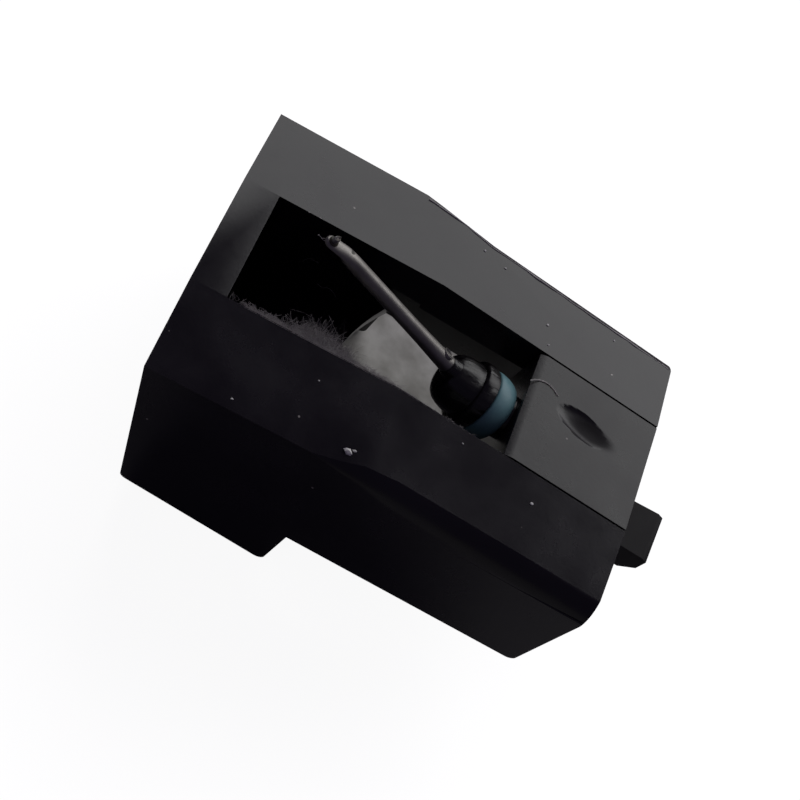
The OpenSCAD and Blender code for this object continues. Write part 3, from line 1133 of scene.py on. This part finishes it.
# middle of each tuft along the window's edge, its spread, how far it stands out, fibres
for middle, spread, out, count in (
    (-1.5, 0.4, 0.34, 240),
    (-0.6, 0.5, 0.3, 260),
    (0.35, 0.4, 0.9, 560),
    (1.0, 0.35, 0.7, 420),
    (1.9, 0.7, 0.3, 280),
    (3.6, 1.0, 0.14, 240),
):
    for _ in range(count):
        x = max(-2.6, chance.gauss(middle, spread))
        near_edge = Vector((x, -2.16, record_face(x, -2.16)))
        reach_out = out * chance.uniform(0.1, 1)
        middle_point = near_edge + Vector((0, 0.45 * reach_out, -0.3 * reach_out))
        points = [near_edge + Vector((chance.gauss(0, 0.1), -0.03, 0))]
        for _ in range(5):
            wander = Vector([chance.gauss(0, 0.36) for _ in range(3)]) * reach_out
            point = middle_point + wander
            point.z = min(point.z, record_face(point.x, 0) - 0.03)
            point.y = max(point.y, -2.13)
            points.append(point)
        tufts.append((points, chance.uniform(0.5, 1)))
# cotton fibres are about a hundredth of a millimetre thick
lint = fibres("window_lint", tufts, 0.0038)
put_on(lint, "shell", "housing", fluff)

# %% [markdown]
# ## Loose hairs
# One curl of pale hair lies across the panel's front corner. Others cling to the web below the
# window and to the tip, where the groove's dust gathers.

# %% Loose hairs
hair = fibres(
    "panel_hair",
    [
        (
            [
                (7.3, 0.86, record_face(7.3, 0)),
                (7.42, 0.98, record_face(7.4, 0) + 0.03),
                (7.75, 1.14, record_face(7.75, 0) + 0.03),
                (8.1, 1.14, record_face(8.1, 0) + 0.02),
                (8.42, 0.92, record_face(8.42, 0) + 0.02),
            ],
            1,
        )
    ],
    0.026,
)
put_on(hair, "shell", "stylus_holder", nylon)
web_lint = fibres(
    "web_lint",
    [
        (
            [
                (-0.55, 4.1, 0.82),
                (-0.5, 4.3, 0.84),
                (-0.3, 4.4, 0.83),
                (-0.1, 4.42, 0.82),
                (0, 4.4, 0.81),
            ],
            1,
        ),
        (
            [
                (0.3, 3.6, 0.82),
                (0.5, 3.5, 0.86),
                (0.7, 3.7, 0.83),
                (1.0, 3.6, 0.82),
                (1.1, 3.5, 0.81),
            ],
            0.7,
        ),
    ],
    0.02,
)
put_on(web_lint, "shell", "housing", fluff)
tip_lint = fibres(
    "tip_lint",
    [
        (
            [
                (-0.9, 0.1, 8.5),
                (-1.0, 0.05, 8.46),
                (-1.12, 0.0, 8.42),
                (-1.2, 0.05, 8.32),
                (-1.2, 0.1, 8.2),
            ],
            1,
        ),
        (
            [
                (-0.95, 0.0, 8.5),
                (-1.1, 0.08, 8.36),
                (-1.05, 0.12, 8.2),
                (-0.85, 0.1, 8.16),
                (-0.7, 0, 8.2),
            ],
            0.8,
        ),
        (
            [
                (-1.0, -0.1, 8.5),
                (-1.15, -0.1, 8.45),
                (-1.3, 0.05, 8.38),
                (-1.35, 0.1, 8.25),
                (-1.3, 0.2, 8.2),
            ],
            0.8,
        ),
    ],
    0.01,
)
put_on(tip_lint, "moving_stylus", "cantilever", fluff)

# %% [markdown]
# ## The painted highlight edge
# A thin pale bead of uneven thickness, a painted highlight, follows the far edge of the record
# side.
# A ray from above finds the moulding's own height at each of its points.

# %% The painted highlight edge
# the record side narrows quickly where the rounding grows, then slowly towards the rear
EDGE_START, EDGE_KNEE, EDGE_END, EDGE_POINTS = 1.75, 4.4, 12.2, 40
wobble = random.Random(4)
edge_line = []
for step in range(EDGE_POINTS):
    x = EDGE_START + step * (EDGE_END - EDGE_START) / (EDGE_POINTS - 1)
    if x < EDGE_KNEE:
        y = 5.36 - 0.43 * (x - 1.6) / 2.8
    else:
        y = 4.93 - 0.086 * (x - EDGE_KNEE) / 7.9
    y += wobble.gauss(0, 0.012) - 0.09
    _, where, _, _ = housing.ray_cast(Vector((x, y, 12)) * MM, Vector((0, 0, -1)))
    edge_line.append((x, y, where.z / MM + 0.004))
thick_and_thin = [wobble.choice((0.5, 0.7, 0.9, 1.1, 1.5)) for _ in edge_line]
edge_bead = fibres("painted_highlight_edge", [(edge_line, thick_and_thin)], 0.03, smoothness=3, roundness=1)
put_on(edge_bead, "shell", "housing", painted_edge_highlight)

# %% [markdown]
# ## Grains
# A few specks of grit lie on the shoulders. Each starts as a ball of twenty faces,
# its corners are pushed about, and it is pressed flat.


# %% Grains
def grain(x, y, size_mm, seed):
    """One flattened chip that rests on the record side."""
    clear_selection()
    z = record_face(x, y) + 0.3 * size_mm
    bpy.ops.mesh.primitive_ico_sphere_add(
        subdivisions=1, radius=size_mm * MM, location=(x * MM, y * MM, z * MM)
    )
    piece = bpy.context.object
    bpy.ops.object.transform_apply(location=True, rotation=True, scale=True)
    edit(piece)
    bpy.ops.transform.vertex_random(offset=size_mm * 0.4 * MM, seed=seed)
    bpy.ops.transform.resize(
        value=(1.2, 0.8, 0.6), center_override=(x * MM, y * MM, z * MM)
    )
    bpy.ops.object.mode_set(mode="OBJECT")
    return piece


grains = [
    grain(x, y, size, seed)
    for seed, (x, y, size) in enumerate(
        (
            (2.62, -4.84, 0.13),
            (2.8, -4.72, 0.06),
            (8.83, -3.1, 0.06),
            (7.22, 3.25, 0.05),
            (7.47, 2.5, 0.04),
            (4.2, 4.5, 0.05),
            (5.1, 4.35, 0.045),
            (-1.2, -5.05, 0.04),
            (9.8, 4.4, 0.04),
            (0.9, -3.2, 0.03),
            (5.9, -2.6, 0.03),
        )
    )
]
activate(grains[0])
for piece in grains:
    piece.select_set(True)
bpy.ops.object.join()
dust = grains[0]
dust.name = "dust_grains"
put_on(dust, "shell", "housing", grit)
